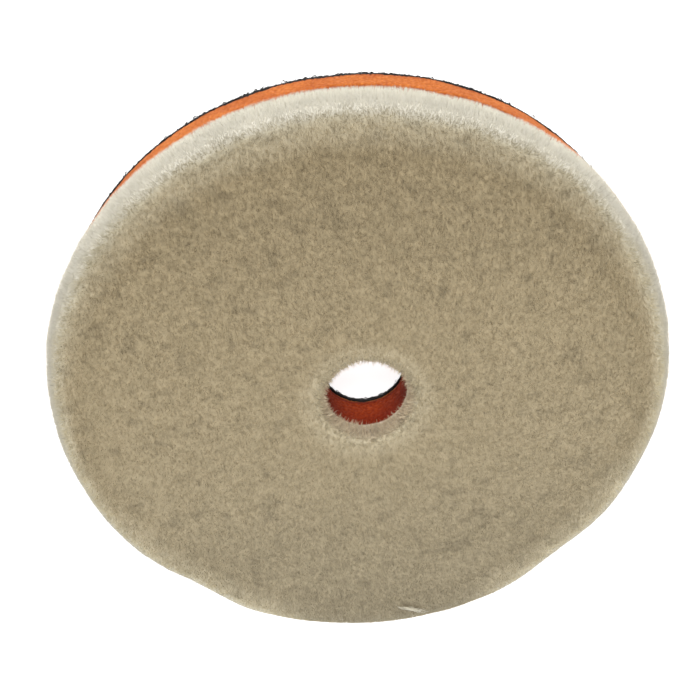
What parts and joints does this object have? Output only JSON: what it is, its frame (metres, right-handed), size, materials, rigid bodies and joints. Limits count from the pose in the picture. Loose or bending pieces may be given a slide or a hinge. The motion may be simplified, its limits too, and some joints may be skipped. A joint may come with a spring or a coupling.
{
  "type": "polishing pad",
  "caption": "Round short-nap wool polishing pad on a springy foam interface, with a loop backing and a centre hole, for an orbital or rotary polisher's hook-faced plate.",
  "frame": {"origin": "centre of the loop face, on the axis of the centre hole", "axes": "+Z runs along the centre hole from the loop face to the wool face; the pad is round, so +X and +Y are any two square directions in its plane"},
  "size_m": [0.16, 0.16, 0.021],
  "materials": {
    "loop_nylon": "black nylon loops, slight sheen",
    "loop_cloth": "black knitted nylon cloth, matt",
    "glue_film": "clear hot-melt film, amber over the foam",
    "orange_foam": "open-cell polyurethane foam, matt orange",
    "knit_skin": "cream knitted backing, matt",
    "wool": "short dense cream wool, soft sheen"
  },
  "bodies": {
    "backing": {"loop_pile": "loop_nylon", "loop_base_cloth": "loop_cloth", "back_glue_film": "glue_film", "foam_interface": "orange_foam"},
    "wool_face": {"face_glue_film": "glue_film", "wool_skin": "knit_skin", "wool_pile": "wool"}
  },
  "joints": [
    {"name": "foam_compression", "type": "slide", "parent": "backing", "child": "wool_face", "axis": [0, 0, 1], "range_m": [-0.005, 0], "stiffness_N_per_m": 20000, "deforming": ["foam_interface"]}
  ]
}
